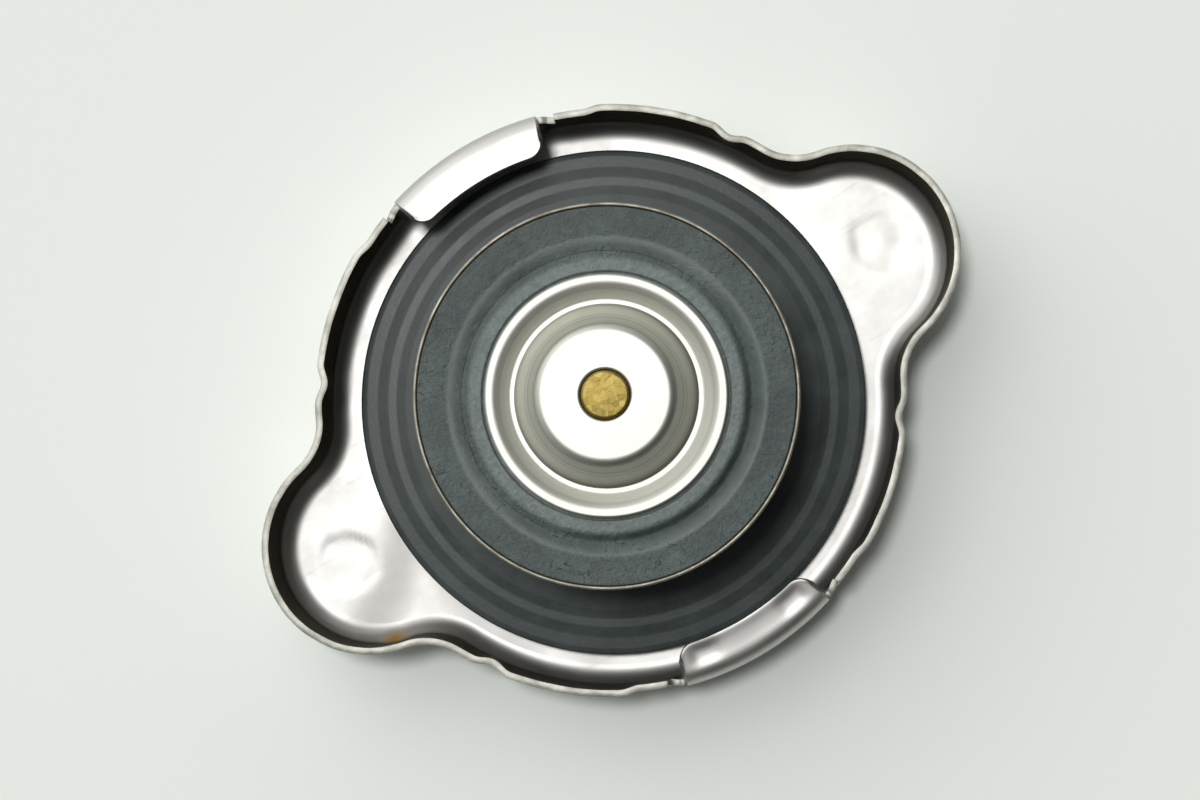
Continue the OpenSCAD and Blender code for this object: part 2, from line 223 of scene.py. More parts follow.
def dent(p, z):
    """Depth of the skirt's dents: a hollow by the ear and a step by the lug, both growing to the rim."""
    angle = from_ear(p)
    away = min(1, abs(angle - dent_angle) / dent_half)
    depth = dent_depth * (1 + math.cos(math.pi * away)) / 2
    begun = smooth(-lug_step_half, lug_step_half, angle - lug_step_angle)
    depth += lug_step_depth * begun * smooth(lug_step_end, lug_step_full, lug_start - angle)
    return depth * smooth(edge_z, notch_z, z)


def wall_point(station, inward, z):
    p = station[0] - station[1] * inward
    return Vector((p.x, p.y, z))


def floor_z(p):
    """Height of the floor's middle surface: soft waves, a crumpled button in each ear and one sagging ear."""
    wave = floor_wave * noise.noise(Vector((p.x, p.y, 0)) / floor_wave_grain)
    away = (Vector((abs(p.x), p.y)) - Vector((button_x, 0))).length
    away += button_crumple * noise.noise(Vector((p.x, p.y, 0)) / button_crumple_grain)
    depth = button_depth_east if p.x > 0 else button_depth_west
    depth *= 1 + noise.noise(Vector((p.x, p.y, 5)) / button_uneven_grain)
    pressed = depth * smooth(button_r + button_edge, button_r - button_edge, away)
    toward = (p - Vector((-button_x, 0))).dot(sag_side)
    sag = ear_sag * smooth(sag_start, sag_full, toward) * smooth(sag_start_x, sag_full_x, p.x)
    return floor_mid_z + wave - sag - pressed


half_t = sheet_t / 2
edge_z = panel_rise + edge_r
notch_z = skirt_h - notch_depth
floor_mid_z = panel_rise + half_t
centre = rounded([(rivet_hole_r, hollow_z + half_t), (hollow_r, hollow_z + half_t),
                  (hollow_r + hollow_slope, half_t), (panel_r - panel_slope_in, half_t),
                  (panel_r + panel_rise - panel_slope_in, floor_mid_z), (floor_start_r, floor_mid_z)],
                 [hollow_bend_r, hollow_bend_r, panel_bend_r, panel_bend_r], steps=3)
rows = [[Vector((*(s[0].normalized() * p.x), p.y)) for s in stations] for p in centre]
foot_in = lean(edge_z) + edge_r
floor_steps, fillet_steps, wall_steps, top_steps = 32, 8, 7, 18
for step in range(1, floor_steps):
    row = []
    for s in stations:
        p = (s[0].normalized() * floor_start_r).lerp(s[0] - s[1] * foot_in, step / floor_steps)
        blend = smooth(0, floor_wave_start, step / floor_steps)
        row.append(Vector((p.x, p.y, floor_mid_z + blend * (floor_z(p) - floor_mid_z))))
    rows.append(row)
fillet_r = edge_r - half_t
for step in range(fillet_steps):
    turn = math.radians(90 - 90 * step / fillet_steps)
    row = []
    for s in stations:
        sunk = (floor_z(s[0] - s[1] * foot_in) - floor_mid_z) * smooth(fillet_steps, 0, step)
        z = edge_z - fillet_r * math.sin(turn) + sunk
        row.append(wall_point(s, foot_in - fillet_r * math.cos(turn), z))
    rows.append(row)
for step in range(wall_steps + 1):
    row = []
    for s in stations:
        z = edge_z + (notch_z - edge_z) * step / wall_steps
        if step == wall_steps and is_notch(s[0]):
            z += notch_torn * noise.noise(Vector((*s[0], 0)) / notch_torn_grain)
        row.append(wall_point(s, lean(z) + half_t + dent(s[0], z), z))
    rows.append(row)
notch_row = len(rows) - 1
lug_z = skirt_h - half_t
lug_in_r = skirt_r - lug_reach
columns = []
for s in stations:
    column = []
    if is_lug(s[0]):
        side = math.radians(from_ear(s[0]) - lug_start) * lug_in_r
        cut = max(0, lug_corner_r - side)
        corner = lug_corner_r - math.sqrt(max(0, lug_corner_r ** 2 - cut ** 2))
        line = rounded([(skirt_r - half_t - lean(notch_z), notch_z), (skirt_r - half_t, lug_z - lug_tilt),
                        (lug_in_r + corner, lug_z)], [lug_bend_r - half_t], steps=10)
        from_end = side / (math.radians(lug_half) * lug_in_r)
        pocket = lug_pocket_north if s[0].y > 0 else lug_pocket_south
        near = smooth(pocket_half, pocket_core, abs(from_end - pocket_at))
        pocket *= (pocket_between + (1 - pocket_between) * near) * smooth(*pocket_fade, from_end)
        for p in resampled(line, top_steps + 1)[1:]:
            inner = (skirt_r - lug_bend_r - p.x) / (skirt_r - lug_bend_r - lug_in_r)
            sag = pocket * smooth(*pocket_outer, inner) * smooth(*pocket_inner, inner)
            column.append(Vector((*(s[1] * p.x), p.y - sag)))
    else:
        for step in range(1, top_steps + 1):
            z = notch_z + (skirt_h - notch_z) * step / top_steps
            wave = noise.noise(Vector((*s[0], 0)) / rim_wave_grain) * smooth(notch_z, skirt_h, z)
            inward = lean(z) + half_t + dent(s[0], z) + rim_wave * max(0, wave)
            column.append(wall_point(s, inward, z - rim_wave * abs(wave)))
    columns.append(column)
for step in range(top_steps):
    rows.append([column[step] for column in columns])


def sheet_piece(name, rows, is_open, thickness, softened, edge_slot=0):
    """A piece of formed sheet: a closed grid of rows round the axis, given its thickness and soft edges."""
    count = len(rows[0])
    points = [p * MM for row in rows for p in row]
    faces = []
    for j in range(len(rows) - 1):
        for i in range(count):
            k = (i + 1) % count
            if not is_open(j, i, k):
                faces.append((j * count + i, j * count + k, (j + 1) * count + k, (j + 1) * count + i))
    mesh = bpy.data.meshes.new(name)
    mesh.from_pydata(points, [], faces)
    body = bmesh.new()
    body.from_mesh(mesh)
    bmesh.ops.delete(body, geom=[v for v in body.verts if not v.link_faces], context="VERTS")
    body.to_mesh(mesh)
    body.free()
    mesh.shade_smooth()
    piece = bpy.data.objects.new(name, mesh)
    bpy.context.scene.collection.objects.link(piece)
    wall = piece.modifiers.new("wall", "SOLIDIFY")
    wall.thickness = thickness * MM
    wall.offset = 0
    wall.use_even_offset = True
    wall.material_offset_rim = edge_slot
    edges = piece.modifiers.new("edges", "BEVEL")
    edges.width = softened * MM
    edges.segments = 2
    edges.limit_method = "ANGLE"
    edges.angle_limit = math.radians(sharp_angle)
    edges.material = edge_slot
    return piece


def in_notch(j, i, k):
    a, b = stations[i][0], stations[k][0]
    return j >= notch_row and (is_notch(a) or is_notch(b))


shell = sheet_piece("shell", rows, in_notch, sheet_t, sheared_soft, edge_slot=1)


def linear(colour):
    """An sRGB hex colour as linear red, green, blue and alpha."""
    parts = [int(colour[i:i + 2], 16) / 255 for i in (0, 2, 4)]
    return (*[c / 12.92 if c <= 0.04045 else ((c + 0.055) / 1.055) ** 2.4 for c in parts], 1)


def add(tree, kind, inputs=None, **settings):
    """Adds a node: settings are its properties, inputs are values or other nodes' outputs."""
    node = tree.nodes.new(kind)
    for name, value in settings.items():
        setattr(node, name, value)
    for key, value in (inputs or {}).items():
        if isinstance(value, bpy.types.NodeSocket):
            tree.links.new(value, node.inputs[key])
        else:
            node.inputs[key].default_value = value
    return node


def new_material(name):
    """An empty node material, its tree and its Object coordinates."""
    material = bpy.data.materials.new(name)
    material.use_nodes = True
    material.node_tree.nodes.clear()
    return material, material.node_tree, add(material.node_tree, "ShaderNodeTexCoord").outputs["Object"]


def grain(size):
    """Scale of a pattern whose grain is size millimetres."""
    return 1 / (size * MM)


# Bright nickel on drawn steel: near-white flats, smudged and lightly scratched, with an orange-peel waver.
# Painted shade: the upper inner walls get a darker base colour and a dark specular tint, in place of the dark
# reflections they show. Water has left a little rust in one ear.
rust_place = Vector((-23.9, -7.0, 2.3))
rust_r = 1.5
rust_core_r = 0.3
# Where the painted shade on the inner walls begins and is full: in height, and in distance across from the
# lugs
wall_shade_start_z = 1.9
wall_shade_full_z = 3.1
wall_shade_start_x = 6.1
wall_shade_full_x = 6.6
facing_in = -6
plated, tree, place = new_material("bright_nickel_plated_steel")
smudge = add(tree, "ShaderNodeTexNoise", {"Vector": place, "Scale": grain(5), "Detail": 4, "Roughness": 0.6})
peel = add(tree, "ShaderNodeTexNoise", {"Vector": place, "Scale": grain(1.6), "Detail": 2})
grit = add(tree, "ShaderNodeTexNoise", {"Vector": place, "Scale": grain(0.22), "Detail": 3, "Roughness": 0.7})
along = add(tree, "ShaderNodeMapping", {"Vector": place, "Rotation": (0, 0, 0.6), "Scale": (0.05, 1, 0.3)})
scratch = add(tree, "ShaderNodeTexNoise", {"Vector": along.outputs[0], "Scale": grain(0.3), "Detail": 2})
line = add(tree, "ShaderNodeMapRange", {"Value": scratch.outputs[0], "From Min": 0.62, "From Max": 0.72})
rust_at = add(tree, "ShaderNodeVectorMath", {0: place, 1: rust_place * MM}, operation="DISTANCE")
near = add(tree, "ShaderNodeMapRange", {"Value": rust_at.outputs["Value"], "From Min": rust_r * MM,
                                        "From Max": rust_core_r * MM})
spots = add(tree, "ShaderNodeMapRange", {"Value": smudge.outputs[0], "From Min": 0.25, "From Max": 0.5})
stain = add(tree, "ShaderNodeMath", {0: near.outputs[0], 1: spots.outputs[0]}, operation="MULTIPLY")
worn = add(tree, "ShaderNodeMapRange", {"Value": smudge.outputs[0], "From Min": 0.3, "From Max": 0.7,
                                        "To Min": 0.44, "To Max": 0.52})
height = add(tree, "ShaderNodeSeparateXYZ", {0: place})
drawn = add(tree, "ShaderNodeMapRange", {"Value": height.outputs["Z"], "From Min": wall_shade_start_z * MM,
                                         "From Max": wall_shade_full_z * MM}, interpolation_type="SMOOTHSTEP")
facing = add(tree, "ShaderNodeTexCoord").outputs["Normal"]
outward = add(tree, "ShaderNodeVectorMath", {0: facing, 1: place}, operation="DOT_PRODUCT")
inside = add(tree, "ShaderNodeMapRange", {"Value": outward.outputs["Value"], "From Min": 0,
                                          "From Max": facing_in * MM})
sideways = add(tree, "ShaderNodeMath", {0: height.outputs["X"]}, operation="ABSOLUTE")
rust = add(tree, "ShaderNodeMath", {0: stain.outputs[0], 1: inside.outputs[0]}, operation="MULTIPLY")
beside_lug = add(tree, "ShaderNodeMapRange", {"Value": sideways.outputs[0], "From Min": wall_shade_start_x * MM,
                                              "From Max": wall_shade_full_x * MM})
skirt = add(tree, "ShaderNodeMath", {0: drawn.outputs[0], 1: beside_lug.outputs[0]}, operation="MULTIPLY")
# Painted shade mask: the upper inner walls away from the lugs, which get a darker base colour
painted_wall_shade = add(tree, "ShaderNodeMath", {0: skirt.outputs[0], 1: inside.outputs[0]}, operation="MULTIPLY")
wall_shade_colour = add(tree, "ShaderNodeMix", {0: painted_wall_shade.outputs[0], 6: linear("C2C1BD"), 7: linear("A3A19B")},
           data_type="RGBA")
colour = add(tree, "ShaderNodeMix", {0: rust.outputs[0], 6: wall_shade_colour.outputs[2], 7: linear("9C7420")},
             data_type="RGBA")
# Painted shade: a dark specular tint dims the reflections of the inner walls
painted_dark_reflection = add(tree, "ShaderNodeMix", {0: painted_wall_shade.outputs[0], 6: (1, 1, 1, 1), 7: linear("4A463E")}, data_type="RGBA")
satin = add(tree, "ShaderNodeMath", {0: painted_wall_shade.outputs[0], 1: -0.14, 2: worn.outputs[0]},
            operation="MULTIPLY_ADD")
rough = add(tree, "ShaderNodeMath", {0: line.outputs[0], 1: 0.025, 2: satin.outputs[0]},
            operation="MULTIPLY_ADD")
metal = add(tree, "ShaderNodeMath", {0: 1, 1: rust.outputs[0]}, operation="SUBTRACT")
waver = add(tree, "ShaderNodeBump", {"Height": peel.outputs[0], "Strength": 0.15, "Distance": 0.03 * MM})
fine = add(tree, "ShaderNodeBump", {"Height": grit.outputs[0], "Strength": 0.06, "Distance": 0.01 * MM,
                                    "Normal": waver.outputs[0]})
steel = add(tree, "ShaderNodeBsdfPrincipled", {
    "Base Color": colour.outputs[2], "Metallic": metal.outputs[0], "Roughness": rough.outputs[0],
    "Specular Tint": painted_dark_reflection.outputs[2], "Normal": fine.outputs[0]})
add(tree, "ShaderNodeOutputMaterial", {"Surface": steel.outputs[0]})

# The sheared edge of the sheet: bare and torn, so duller and greyer than the plated faces.
sheared, tree, place = new_material("sheared_steel_edge")
tear = add(tree, "ShaderNodeTexNoise", {"Vector": place, "Scale": grain(1.8), "Detail": 5, "Roughness": 0.6})
tone = add(tree, "ShaderNodeMapRange", {"Value": tear.outputs[0], "From Min": 0.35, "From Max": 0.68})
colour = add(tree, "ShaderNodeMix", {0: tone.outputs[0], 6: linear("8A8A81"), 7: linear("B4B3AA")},
             data_type="RGBA")
ripple = add(tree, "ShaderNodeBump", {"Height": tear.outputs[0], "Strength": 0.3, "Distance": 0.2 * MM})
steel = add(tree, "ShaderNodeBsdfPrincipled", {
    "Base Color": colour.outputs[2], "Metallic": 1, "Roughness": 0.5, "Normal": ripple.outputs[0]})
add(tree, "ShaderNodeOutputMaterial", {"Surface": steel.outputs[0]})


def fit(piece, materials, node, body):
    """Gives a piece its finish and lets it stand for a solid on a body."""
    piece.data.materials.clear()
    for material in materials:
        piece.data.materials.append(material)
    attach(piece, body)
    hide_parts(node)


fit(shell, [plated, sheared], "cap_shell", "shell")

# Centre rivet
# A steel rivet with a flat head in the hollow of the top panel. Its shank goes through shell, spring disc
# and cage, and its end is staked over inside the cage's foot, so that the cage can turn.


def turned(name, profile, steps=224):
    """A closed mesh turned round the axis from a closed profile of (r, z) points in millimetres."""
    body = bmesh.new()
    rings = []
    for r, z in profile:
        count = steps if r > 1e-4 else 1
        rings.append([body.verts.new(Vector((*(ray(360 * i / steps) * r), z)) * MM) for i in range(count)])
    for a, b in zip(rings, rings[1:] + rings[:1]):
        for i in range(steps):
            k = (i + 1) % steps
            corners = [a[i % len(a)], a[k % len(a)], b[k % len(b)], b[i % len(b)]]
            corners = list(dict.fromkeys(corners))
            if len(corners) > 2:
                body.faces.new(corners)
    bmesh.ops.recalc_face_normals(body, faces=body.faces)
    mesh = bpy.data.meshes.new(name)
    body.to_mesh(mesh)
    body.free()
    mesh.shade_smooth()
    piece = bpy.data.objects.new(name, mesh)
    bpy.context.scene.collection.objects.link(piece)
    return piece


rivet_low, rivet_high = span("centre_rivet")
rivet_head_r = rivet_high.x
rivet_seat_z = hollow_z - 0.05
rivet_r = 1.9
rivet_bore_r = rivet_r + 0.05
staked_r = rivet_r + 1.2
staked_taper = 0.25
staked_wall_h = 0.6
staked_z = rivet_high.z - 0.95
rivet = turned("centre_rivet_steel", rounded(
    [(0, rivet_low.z), (rivet_head_r, rivet_low.z), (rivet_head_r, rivet_seat_z), (rivet_r, rivet_seat_z),
     (rivet_r, staked_z), (staked_r, staked_z), (staked_r - staked_taper, staked_z + staked_wall_h),
     (0, rivet_high.z)], [0.25, 0.1, 0.05, 0.05, 0.1, 0.5], steps=4), steps=96)
fit(rivet, [plated], "centre_rivet", "valve_unit")

# Spring disc
# A thin disc of stainless spring steel, stamped and dished, and clamped by the rivet.
# Its outer ring presses the gasket on the neck's rim.


def walled(path, radii, thickness, softened=0.3):
    """Closed profile of a sheet: a middle line with rounded bends, offset to both sides, with soft edges."""
    corner, support = 0.3, 1.4
    line = rounded(path, radii)
    sides = ([], [])
    for index, p in enumerate(line):
        ahead = line[min(index + 1, len(line) - 1)] - line[max(index - 1, 0)]
        across = Vector((-ahead.y, ahead.x)).normalized() * thickness / 2
        sides[0].append(p + across)
        sides[1].append(p - across)
    profile = []
    for side, other in (sides, sides[::-1]):
        first, last = (side, other) if side is sides[0] else (side[::-1], other[::-1])
        edge = (last[-1] - first[-1]) * softened
        back = (first[-2] - first[-1]).normalized() * thickness * softened
        start = (last[0] - first[0]) * softened
        inward = (first[1] - first[0]).normalized() * thickness * softened
        profile += [first[0] + (start + inward) * corner, first[0] + inward, first[0] + inward * support]
        profile += first[1:-1] + [first[-1] + back * support, first[-1] + back]
        profile += [first[-1] + (edge + back) * corner, first[-1] + edge, last[-1] - edge]
    return profile


leaf_low, leaf_high = span("leaf_spring")
leaf_t = 0.3
leaf_ring_w = 5
leaf_bend_r = 2
leaf_r = leaf_high.x
cage_well_r = 6.9
leaf_flat_r = cage_well_r + 0.6
leaf_mid_z = leaf_low.z + leaf_t / 2
leaf_ring_z = leaf_high.z - leaf_t / 2
leaf = turned("leaf_spring_disc", walled(
    [(rivet_bore_r, leaf_mid_z), (leaf_flat_r, leaf_mid_z), (leaf_r - leaf_ring_w, leaf_ring_z),
     (leaf_r, leaf_ring_z)], [leaf_bend_r, leaf_bend_r], leaf_t), steps=160)

# Drawn stainless: warm light grey with a satin haze. The tool has left fine level rings on steep walls.
stainless, tree, place = new_material("drawn_stainless_steel")
height = add(tree, "ShaderNodeSeparateXYZ", {0: place})
rings = add(tree, "ShaderNodeTexNoise", {"W": height.outputs["Z"], "Scale": grain(0.3), "Detail": 4},
            noise_dimensions="1D")
haze = add(tree, "ShaderNodeTexNoise", {"Vector": place, "Scale": grain(2.5), "Detail": 4, "Roughness": 0.65})
worn = add(tree, "ShaderNodeMapRange", {"Value": haze.outputs[0], "From Min": 0.3, "From Max": 0.7,
                                        "To Min": 0.46, "To Max": 0.49})
streak = add(tree, "ShaderNodeMapRange", {"Value": rings.outputs[0], "From Min": 0.56, "From Max": 0.72})
colour = add(tree, "ShaderNodeMix", {0: streak.outputs[0], 6: linear("BCBCB3"), 7: linear("A4A398")},
             data_type="RGBA")
drawn = add(tree, "ShaderNodeBump", {"Height": rings.outputs[0], "Strength": 0.5, "Distance": 0.012 * MM})
steel = add(tree, "ShaderNodeBsdfPrincipled", {
    "Base Color": colour.outputs[2], "Metallic": 1, "Roughness": worn.outputs[0], "Normal": drawn.outputs[0]})
add(tree, "ShaderNodeOutputMaterial", {"Surface": steel.outputs[0]})
fit(leaf, [stainless], "leaf_spring", "valve_unit")

# Upper gasket
# A moulded ring of black rubber under the spring disc's edge. It closes the neck's rim, and the rim has left
# soft rings in its dished face. Dust and dried coolant make it slate grey.
gasket_low, gasket_high = span("upper_gasket")
gasket_r = gasket_high.x
gasket_top = gasket_high.z
gasket_in_r = cage_well_r + 0.3
gasket_step = 0.15
dish_r = 14.2
dish_foot_r = 14.0
dish_w = 4.9
dish_fall = 0.12
rim_drop = 0.06
ring_drop = 0.035
ring_bend_r = 1.6
seam = 0.01
gasket_rings = [(18.85, 0), (18.0, ring_drop), (17.2, 0), (16.55, ring_drop), (15.85, 0), (dish_r, 0)]
gasket = turned("upper_gasket_rubber", rounded(
    [(gasket_in_r, gasket_low.z), (gasket_r, gasket_low.z),
     (gasket_r, gasket_top - rim_drop - dish_fall * dish_w),
     *[(r, gasket_top - drop - dish_fall * (r - dish_r)) for r, drop in gasket_rings],
     (dish_foot_r, gasket_top - gasket_step), (gasket_in_r, gasket_top - gasket_step),
     (gasket_in_r, gasket_low.z + seam)],
    [0.2, 0.2, 1, *[ring_bend_r] * 4, 0.1, 0.1, 0.05], steps=8))

# Old EPDM rubber: dark slate, bloomed and dusty in patches, with a soft sheen.
rubber, tree, place = new_material("moulded_epdm_rubber")
bloom = add(tree, "ShaderNodeTexNoise", {"Vector": place, "Scale": grain(4), "Detail": 5, "Roughness": 0.65})
dust = add(tree, "ShaderNodeMapRange", {"Value": bloom.outputs[0], "From Min": 0.35, "From Max": 0.7})
colour = add(tree, "ShaderNodeMix", {0: dust.outputs[0], 6: linear("343C3B"), 7: linear("444D4B")},
             data_type="RGBA")
skin = add(tree, "ShaderNodeTexNoise", {"Vector": place, "Scale": grain(0.3), "Detail": 4, "Roughness": 0.6})
dull = add(tree, "ShaderNodeMapRange", {"Value": bloom.outputs[0], "From Min": 0.3, "From Max": 0.7,
                                        "To Min": 0.33, "To Max": 0.41})
pores = add(tree, "ShaderNodeBump", {"Height": skin.outputs[0], "Strength": 0.3, "Distance": 0.03 * MM})
mix = add(tree, "ShaderNodeBsdfPrincipled", {
    "Base Color": colour.outputs[2], "Roughness": dull.outputs[0], "Normal": pores.outputs[0],
    "Specular IOR Level": 0.35})
add(tree, "ShaderNodeOutputMaterial", {"Surface": mix.outputs[0]})
fit(gasket, [rubber], "upper_gasket", "valve_unit")

# Valve cage
# A cup drawn from thin stainless sheet. Its foot goes through the gasket to the rivet, its wall has windows
# for the coolant, and tabs at its mouth are folded over the guide disc.
cage_low, cage_high = span("valve_cage")
cage_t = 0.5
cage_half = cage_t / 2
cage_soft = 0.08
cage_bend_r = 0.6
window_bend_r = 0.01
cage_well_mid_r = cage_well_r - cage_half
cage_r = cage_high.x - cage_half
cage_mouth_r = 8.4
window_count = 4
window_w = 7.5
window_h = 4.6
tab_gap = 6
tab_bend_h = 0.35
cage_foot_z = cage_low.z + cage_half
cage_flange_z = gasket_top - gasket_step + cage_half
tab_z = cage_high.z - cage_half
window_low = (cage_flange_z + tab_z - window_h) / 2
window_edges = (window_low, window_low + window_h)
cage_line = rounded(
    [(rivet_bore_r, cage_foot_z), (cage_well_mid_r, cage_foot_z), (cage_well_mid_r, cage_flange_z),
     (cage_r, cage_flange_z), (cage_r, window_edges[0]), (cage_r, window_edges[1]), (cage_r, tab_z),
     (cage_mouth_r, tab_z)], [*[cage_bend_r] * 3, window_bend_r, window_bend_r, cage_bend_r], steps=5)
cage_steps = 192
cage_rows = [[Vector((*(ray(360 * i / cage_steps) * p.x), p.y)) for i in range(cage_steps)]
             for p in cage_line]


def in_window(j, i, k):
    """True in the wall's windows and in the gaps between the tabs."""
    pitch = 360 / window_count
    away = abs(((i + 0.5) * 360 / cage_steps) % pitch - pitch / 2)
    z = (cage_line[j].y + cage_line[j + 1].y) / 2
    in_wall = window_edges[0] < z < window_edges[1] and cage_line[j].x > cage_r - slack
    in_mouth = z > tab_z - tab_bend_h and j > len(cage_line) / 2
    half_wide = math.degrees(math.asin(window_w / 2 / cage_r))
    half_gap = math.degrees(math.asin(tab_gap / 2 / cage_r))
    return (in_wall and away < half_wide) or (in_mouth and away < half_gap)


cage = sheet_piece("valve_cage_cup", cage_rows, in_window, cage_t, cage_soft)
fit(cage, [stainless], "valve_cage", "valve_unit")

# Main spring
# A coil of round spring steel wire with close end turns. It stands on the cage's flange and presses the
# guide disc, and with it the lower seal, toward the neck's seat.
close_pitch = 1.06
close_turns = 0.8


def coil_tree():
    """A coil spring with close end turns, standing on Foot."""
    tree = bpy.data.node_groups.new("coil_spring", "GeometryNodeTree")
    for name, kind in (("Wire", "Float"), ("Mean Radius", "Float"), ("Foot", "Float"), ("Length", "Float"),
                       ("Turns", "Float"), ("Close Turns", "Float"), ("Points", "Int"), ("Sides", "Int"),
                       ("Material", "Material")):
        tree.interface.new_socket(name, in_out="INPUT", socket_type="NodeSocket" + kind)
    tree.interface.new_socket("Geometry", in_out="OUTPUT", socket_type="NodeSocketGeometry")
    given = add(tree, "NodeGroupInput").outputs

    share = add(tree, "GeometryNodeSplineParameter").outputs["Factor"]
    turn = add(tree, "ShaderNodeMath", {0: share, 1: given["Turns"]}, operation="MULTIPLY").outputs[0]
    tight = add(tree, "ShaderNodeMath", {0: given["Wire"], 1: close_pitch}, operation="MULTIPLY").outputs[0]
    ends = add(tree, "ShaderNodeMath", {0: given["Close Turns"], 1: 2}, operation="MULTIPLY").outputs[0]
    ends_rise = add(tree, "ShaderNodeMath", {0: ends, 1: tight, 2: given["Wire"]},
                    operation="MULTIPLY_ADD").outputs[0]
    free_turns = add(tree, "ShaderNodeMath", {0: given["Turns"], 1: ends}, operation="SUBTRACT").outputs[0]
    free_rise = add(tree, "ShaderNodeMath", {0: given["Length"], 1: ends_rise},
                    operation="SUBTRACT").outputs[0]
    pitch = add(tree, "ShaderNodeMath", {0: free_rise, 1: free_turns}, operation="DIVIDE").outputs[0]
    past = add(tree, "ShaderNodeMath", {0: turn, 1: given["Close Turns"]}, operation="SUBTRACT").outputs[0]
    begun = add(tree, "ShaderNodeMath", {0: past, 1: 0.0}, operation="MAXIMUM").outputs[0]
    free_part = add(tree, "ShaderNodeMath", {0: begun, 1: free_turns}, operation="MINIMUM").outputs[0]
    close_part = add(tree, "ShaderNodeMath", {0: turn, 1: free_part}, operation="SUBTRACT").outputs[0]
    lift = add(tree, "ShaderNodeMath", {0: given["Wire"], 1: 0.5, 2: given["Foot"]},
               operation="MULTIPLY_ADD").outputs[0]
    low = add(tree, "ShaderNodeMath", {0: close_part, 1: tight, 2: lift}, operation="MULTIPLY_ADD").outputs[0]
    z = add(tree, "ShaderNodeMath", {0: free_part, 1: pitch, 2: low}, operation="MULTIPLY_ADD").outputs[0]
    angle = add(tree, "ShaderNodeMath", {0: turn, 1: 2 * math.pi}, operation="MULTIPLY").outputs[0]
    east = add(tree, "ShaderNodeMath", {0: angle}, operation="COSINE").outputs[0]
    north = add(tree, "ShaderNodeMath", {0: angle}, operation="SINE").outputs[0]
    circle = add(tree, "ShaderNodeCombineXYZ", {0: east, 1: north})
    wide = add(tree, "ShaderNodeVectorMath", {0: circle.outputs[0], "Scale": given["Mean Radius"]},
               operation="SCALE")
    height = add(tree, "ShaderNodeCombineXYZ", {2: z})
    at = add(tree, "ShaderNodeVectorMath", {0: wide.outputs[0], 1: height.outputs[0]}, operation="ADD")
    straight = add(tree, "GeometryNodeCurvePrimitiveLine")
    points = add(tree, "GeometryNodeResampleCurve", {"Curve": straight.outputs[0], "Count": given["Points"]})
    wound = add(tree, "GeometryNodeSetPosition", {"Geometry": points.outputs[0], "Position": at.outputs[0]})
    wire_r = add(tree, "ShaderNodeMath", {0: given["Wire"], 1: 0.5}, operation="MULTIPLY").outputs[0]
    section = add(tree, "GeometryNodeCurvePrimitiveCircle", {"Resolution": given["Sides"], "Radius": wire_r})
    tube = add(tree, "GeometryNodeCurveToMesh", {
        "Curve": wound.outputs[0], "Profile Curve": section.outputs[0], "Fill Caps": True})
    real = add(tree, "GeometryNodeRealizeInstances", {"Geometry": tube.outputs[0]})
    done = add(tree, "GeometryNodeSetMaterial", {"Geometry": real.outputs[0], "Material": given["Material"]})
    add(tree, "NodeGroupOutput", {0: done.outputs[0]})
    return tree


coil = coil_tree()


def wound_spring(name, material, **sizes):
    """A plain mesh of the coil with the given sizes, lengths in metres."""
    carrier = bpy.data.objects.new(name, bpy.data.meshes.new(name + "_start"))
    bpy.context.scene.collection.objects.link(carrier)
    modifier = carrier.modifiers.new("coil", "NODES")
    modifier.node_group = coil
    for socket in coil.interface.items_tree:
        if socket.name in sizes:
            modifier[socket.identifier] = sizes[socket.name]
        if socket.name == "Material":
            modifier[socket.identifier] = material
    graph = bpy.context.evaluated_depsgraph_get()
    mesh = bpy.data.meshes.new_from_object(carrier.evaluated_get(graph), depsgraph=graph)
    carrier.modifiers.remove(modifier)
    carrier.data = mesh
    mesh.name = name
    mesh.shade_smooth()
    return carrier


# Oil-tempered spring wire: mid grey metal with an oily gloss, duller in patches.
wire_steel, tree, place = new_material("oil_tempered_spring_wire")
scale_noise = add(tree, "ShaderNodeTexNoise", {"Vector": place, "Scale": grain(0.8), "Detail": 4})
worn = add(tree, "ShaderNodeMapRange", {"Value": scale_noise.outputs[0], "From Min": 0.3, "From Max": 0.7,
                                        "To Min": 0.28, "To Max": 0.45})
steel = add(tree, "ShaderNodeBsdfPrincipled", {
    "Base Color": linear("A9A9A6"), "Metallic": 1, "Roughness": worn.outputs[0]})
add(tree, "ShaderNodeOutputMaterial", {"Surface": steel.outputs[0]})
spring_low, spring_high = span("main_spring")
spring_wire = 1.1
spring_turns = 4
spring_len = spring_high.z - spring_low.z
spring = wound_spring("main_spring_coil", wire_steel, **{
    "Wire": spring_wire * MM, "Mean Radius": (spring_high.x - spring_wire / 2) * MM,
    "Foot": spring_low.z * MM, "Length": spring_len * MM, "Turns": spring_turns, "Close Turns": close_turns,
    "Points": 320, "Sides": 14})
fit(spring, [wire_steel], "main_spring", "valve_unit")
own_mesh(spring)

# Guide disc
# A disc stamped from stainless sheet, with flow holes round the stem's bore.
# It slides in the cage, between the main spring and the folded tabs.
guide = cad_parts["valve_guide"]
guide.data.materials.clear()
guide.data.materials.append(stainless)

# Seal carrier
# A cup drawn from thin brass sheet and nickel plated: a neck on the guide disc, a plate under the lower seal
# and a thin rim round it.
carrier_low, carrier_high = span("seal_carrier")
carrier_t = 0.26
carrier_half = carrier_t / 2
carrier_r = carrier_high.x
neck_r = 7.45
neck_bend_r = 0.45
carrier_rim_bend_r = 0.4
carrier_plate_low = 17.05
carrier_plate_z = carrier_plate_low + carrier_half
carrier = turned("seal_carrier_cup", walled(
    [(neck_r - carrier_half, carrier_low.z), (neck_r - carrier_half, carrier_plate_z),
     (carrier_r - carrier_half, carrier_plate_z), (carrier_r - carrier_half, carrier_high.z)],
    [neck_bend_r, carrier_rim_bend_r], carrier_t), steps=256)

